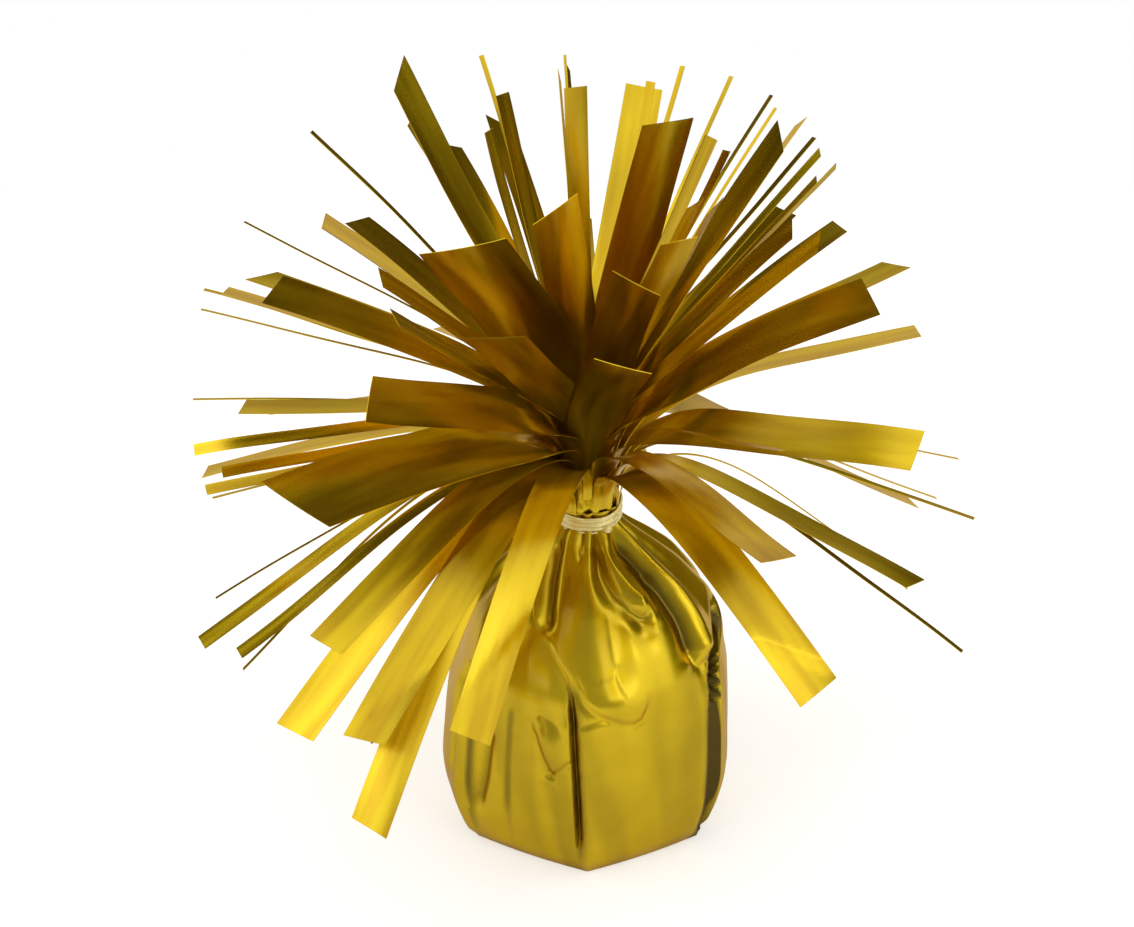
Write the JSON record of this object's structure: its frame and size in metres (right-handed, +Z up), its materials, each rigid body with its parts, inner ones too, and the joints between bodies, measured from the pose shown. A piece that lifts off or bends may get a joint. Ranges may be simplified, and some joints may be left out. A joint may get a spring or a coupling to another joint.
{
  "type": "foil balloon weight",
  "caption": "Party balloon weight: a cast plug wrapped in gold metallised film, gathered and tied at a neck, with the film's slit margin bursting out above as a fringe.",
  "frame": {"origin": "centre of the flat base underside, on the surface that the weight stands on", "axes": "+Z up along the body and neck; -Y towards the front crease of the wrap, the side that faces the camera"},
  "size_m": [0.1427, 0.146, 0.1547],
  "materials": {
    "gold_film": "polished",
    "cast_core": "matte",
    "tie_strand": "gloss"
  },
  "bodies": {
    "root": {"foil_wrap": "gold_film", "fringe_gather": "gold_film", "fringe_slivers": "gold_film", "fringe_strip_01": "gold_film", "fringe_strip_02": "gold_film", "fringe_strip_03": "gold_film", "fringe_strip_04": "gold_film", "fringe_strip_05": "gold_film", "fringe_strip_06": "gold_film", "fringe_strip_07": "gold_film", "fringe_strip_08": "gold_film", "fringe_strip_09": "gold_film", "fringe_strip_10": "gold_film", "fringe_strip_11": "gold_film", "fringe_strip_12": "gold_film", "fringe_strip_13": "gold_film", "fringe_strip_14": "gold_film", "fringe_strip_15": "gold_film", "fringe_strip_16": "gold_film", "fringe_strip_17": "gold_film", "fringe_strip_18": "gold_film", "fringe_strip_19": "gold_film", "fringe_strip_20": "gold_film", "fringe_strip_21": "gold_film", "fringe_strip_22": "gold_film", "fringe_strip_23": "gold_film", "fringe_strip_24": "gold_film", "fringe_strip_25": "gold_film", "fringe_strip_26": "gold_film", "fringe_strip_27": "gold_film", "fringe_strip_28": "gold_film", "fringe_strip_29": "gold_film", "fringe_strip_30": "gold_film", "fringe_strip_31": "gold_film", "fringe_strip_32": "gold_film", "fringe_strip_33": "gold_film", "fringe_strip_34": "gold_film", "fringe_strip_35": "gold_film", "fringe_strip_36": "gold_film", "fringe_strip_37": "gold_film", "fringe_strip_38": "gold_film", "fringe_strip_39": "gold_film", "fringe_strip_40": "gold_film", "fringe_strip_41": "gold_film", "fringe_strip_42": "gold_film", "fringe_strip_43": "gold_film", "fringe_strip_44": "gold_film", "fringe_strip_45": "gold_film", "fringe_strip_46": "gold_film", "fringe_strip_47": "gold_film", "fringe_strip_48": "gold_film", "fringe_strip_49": "gold_film", "fringe_strip_50": "gold_film", "fringe_strip_51": "gold_film", "fringe_strip_52": "gold_film", "fringe_strip_53": "gold_film", "fringe_strip_54": "gold_film", "tie_knot": "tie_strand", "tie_winding": "tie_strand", "weight_core": "cast_core"}
  },
  "joints": []
}
